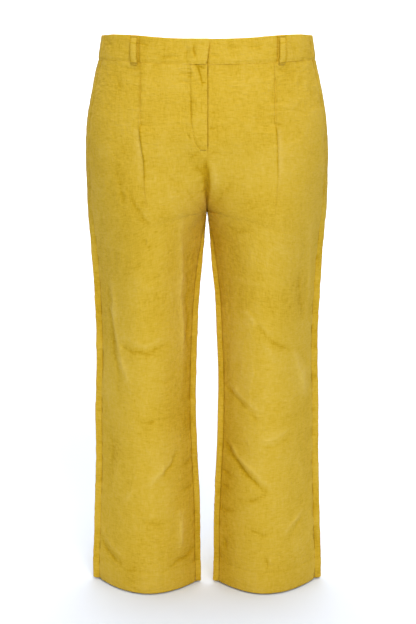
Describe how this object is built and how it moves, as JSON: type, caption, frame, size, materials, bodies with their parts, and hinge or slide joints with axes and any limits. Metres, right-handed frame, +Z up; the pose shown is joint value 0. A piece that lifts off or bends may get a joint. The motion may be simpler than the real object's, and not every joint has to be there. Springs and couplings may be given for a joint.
{
  "type": "straight-leg trousers",
  "caption": "Straight-leg linen trousers, filled out as worn and hollow, with a lapped fly, front pleats, a waistband and belt loops.",
  "frame": {"origin": "middle of the waist opening at the height of its top edge at the sides, where the wearer's waist holds the trousers up", "axes": "+Z up out of the waist, -Y out of the front, +X to the wearer's left"},
  "size_m": [0.4026, 0.2761, 0.9321],
  "materials": {
    "linen": "matt slubby plain-weave linen, mustard yellow"
  },
  "bodies": {
    "root": {"front_right": "linen", "front_left": "linen", "back_right": "linen", "back_left": "linen", "waistband_right": "linen", "waistband_left": "linen", "waistband_back": "linen", "loop_front_right": "linen", "loop_front_left": "linen", "loop_back_right": "linen", "loop_back_left": "linen", "loop_back_middle": "linen"}
  },
  "joints": []
}
